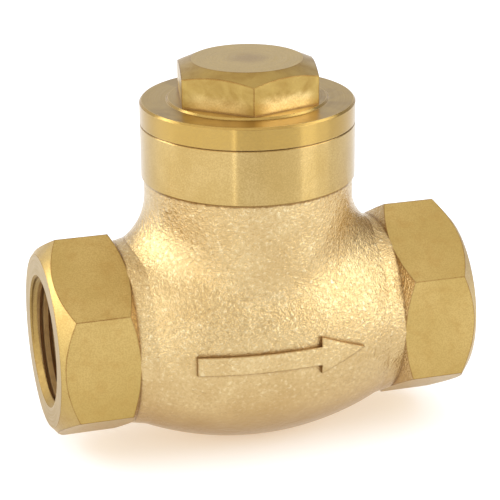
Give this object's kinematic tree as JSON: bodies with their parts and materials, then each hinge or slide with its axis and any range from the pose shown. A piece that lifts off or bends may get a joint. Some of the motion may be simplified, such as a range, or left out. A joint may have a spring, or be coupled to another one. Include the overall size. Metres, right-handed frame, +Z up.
{
  "type": "lift check valve",
  "caption": "Horizontal lift check valve in cast bronze: threaded hexagon ends, barrel body and a screwed hexagon cap.",
  "frame": {"origin": "centre of the inlet end face, on the pipe axis", "axes": "+X along the pipe in the direction of flow, +Z up along the axis of the cap and the disc"},
  "size_m": [0.108, 0.0626, 0.0988],
  "materials": {
    "cast_bronze": "as cast, fine grain",
    "machined_bronze": "turned, satin",
    "gasket_fibre": "matt",
    "ptfe": "matt",
    "spring_steel": "drawn wire"
  },
  "bodies": {
    "housing": {"valve_body": "cast_bronze", "seat_ring": "machined_bronze", "cap": "machined_bronze", "cap_gasket": "gasket_fibre", "closing_spring": "spring_steel"},
    "disc": {"disc_holder": "machined_bronze", "seat_disc": "ptfe", "disc_washer": "machined_bronze", "disc_nut": "machined_bronze"}
  },
  "joints": [
    {"name": "disc_lift", "type": "slide", "parent": "housing", "child": "disc", "axis": [0, 0, 1], "range_m": [0, 0.007], "stiffness_N_per_m": 165, "springref_m": -0.005, "deforming": ["closing_spring"]}
  ]
}
